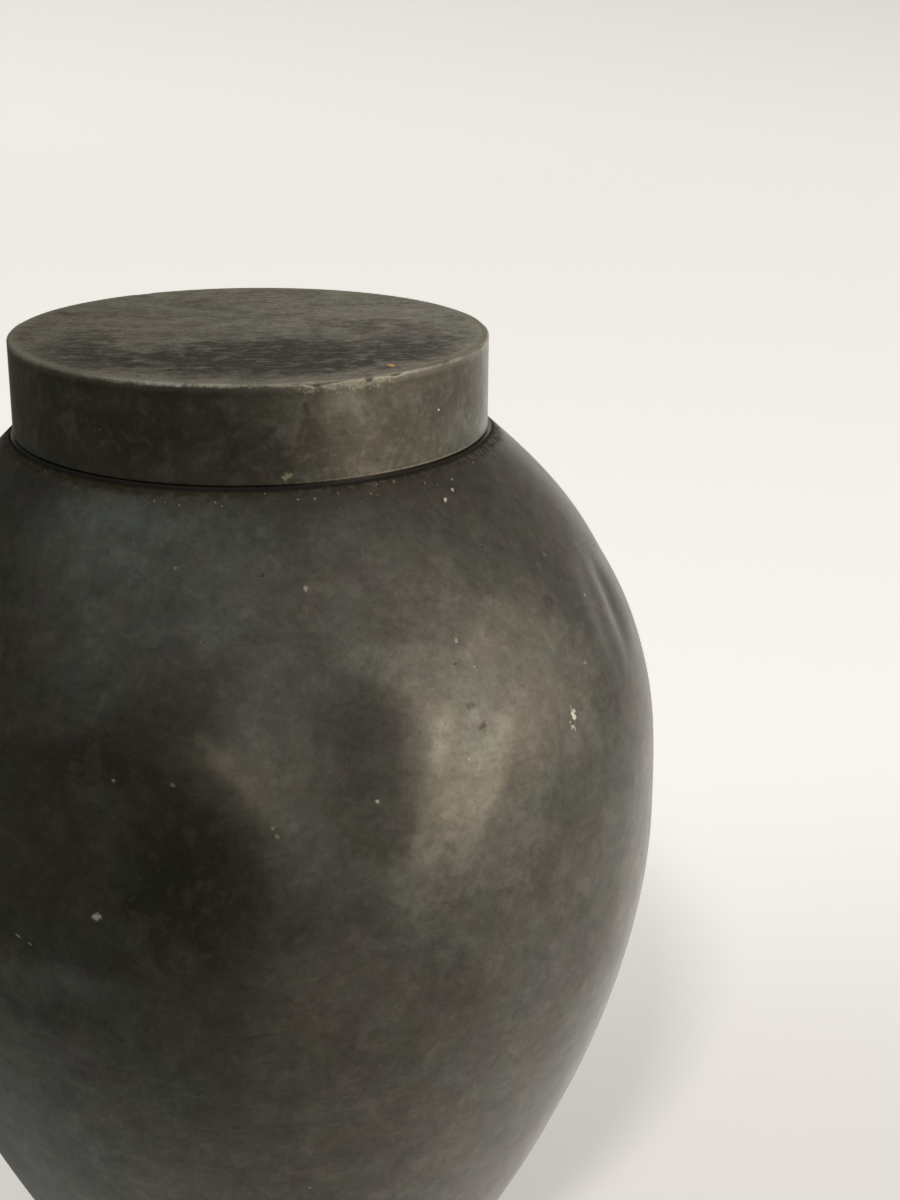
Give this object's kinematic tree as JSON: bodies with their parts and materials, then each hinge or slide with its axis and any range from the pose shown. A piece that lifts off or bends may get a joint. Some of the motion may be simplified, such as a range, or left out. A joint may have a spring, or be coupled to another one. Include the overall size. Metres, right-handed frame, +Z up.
{
  "type": "tea caddy",
  "caption": "Round-shouldered tin tea caddy: a dented, lapped shell on a foot ring, a neck collar with a buttoned inner lid, and a flat slip-over cap.",
  "frame": {"origin": "centre of the foot ring's face, on the surface that the caddy stands on", "axes": "+Z up along the jar's axis, -Y towards the dented front that the picture shows"},
  "size_m": [0.155, 0.155, 0.196],
  "materials": {
    "jar_tin": "satin",
    "cap_tin": "satin",
    "inner_tin": "satin"
  },
  "bodies": {
    "jar": {"foot_ring": "jar_tin", "floor_disc": "jar_tin", "belly_shell": "jar_tin", "shoulder_shell": "jar_tin", "neck_collar": "inner_tin"},
    "inner_lid": {"inner_lid_plate": "inner_tin", "inner_lid_skirt": "inner_tin", "inner_lid_button": "inner_tin"},
    "cap": {"cap_wall": "cap_tin", "cap_top": "cap_tin"}
  },
  "joints": [
    {"name": "inner_lid_lift", "type": "slide", "parent": "jar", "child": "inner_lid", "axis": [0, 0, 1], "range_m": [0, 0.1]},
    {"name": "cap_lift", "type": "slide", "parent": "inner_lid", "child": "cap", "axis": [0, 0, 1], "range_m": [0, 0.1]}
  ]
}
